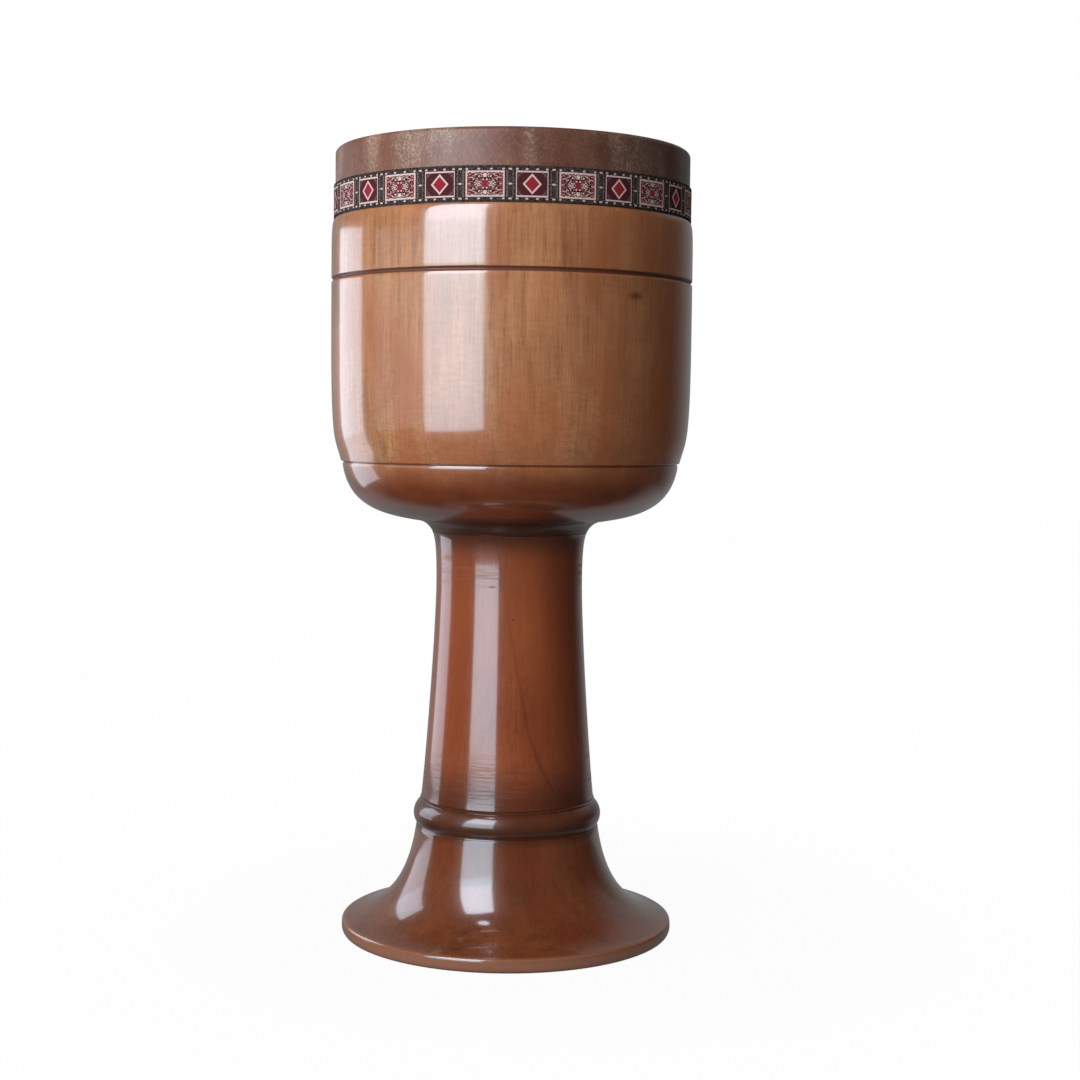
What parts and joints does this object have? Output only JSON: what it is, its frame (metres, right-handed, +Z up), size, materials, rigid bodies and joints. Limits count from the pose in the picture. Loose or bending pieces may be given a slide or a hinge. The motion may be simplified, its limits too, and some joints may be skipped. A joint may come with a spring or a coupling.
{
  "type": "goblet drum",
  "caption": "Goblet drum with a glued hide head, a woven ribbon, a turned hardwood bowl, a waisted neck and a flared bell foot.",
  "frame": {"origin": "centre of the foot's flat underside, on the drum's own axis", "axes": "+Z up along the drum's axis, from the foot to the head; the drum is turned, so X and Y are alike"},
  "size_m": [0.244, 0.244, 0.5302],
  "materials": {
    "foot_wood": "red-brown hardwood under high-gloss lacquer",
    "neck_wood": "red-brown hardwood under high-gloss lacquer",
    "bowl_wood": "honey-brown hardwood with straight grain under high-gloss lacquer",
    "hide": "natural mottled rawhide, smooth",
    "woven_ribbon": "woven jacquard band, black, red and white"
  },
  "bodies": {
    "root": {"foot_bell": "foot_wood", "neck": "neck_wood", "bowl": "bowl_wood", "drumhead": "hide", "ribbon": "woven_ribbon"}
  },
  "joints": []
}
